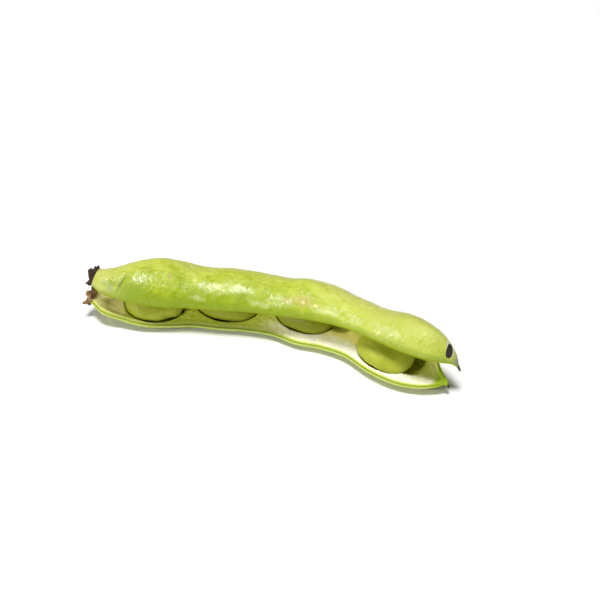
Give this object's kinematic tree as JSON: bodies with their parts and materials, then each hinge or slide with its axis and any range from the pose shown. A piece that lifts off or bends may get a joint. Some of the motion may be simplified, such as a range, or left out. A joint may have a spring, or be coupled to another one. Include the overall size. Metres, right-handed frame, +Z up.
{
  "type": "fava bean pod",
  "caption": "Fresh fava bean pod lying on its side, split along one seam into two thick spongy valves that hold flat beans, with dried calyx scraps at the stem end and a hooked beak.",
  "frame": {"origin": "middle of the pod's outline, on the surface it rests on", "axes": "+X from the stem end to the beak, +Y towards the closed back seam, +Z up"},
  "size_m": [0.1586, 0.0372, 0.0283],
  "materials": {
    "pod_skin": "satin yellow-green fresh skin over pale spongy pith",
    "bean_coat": "waxy pale olive-green seed coat",
    "dry_calyx_dark": "dull dark brown, dried and crumpled",
    "dry_calyx_brown": "dull mid brown, dried and ragged"
  },
  "bodies": {
    "root": {"lower_valve": "pod_skin", "upper_valve": "pod_skin", "bean_1": "bean_coat", "bean_2": "bean_coat", "bean_3": "bean_coat", "bean_4": "bean_coat", "calyx_lower": "dry_calyx_brown", "calyx_upper": "dry_calyx_dark"}
  },
  "joints": []
}
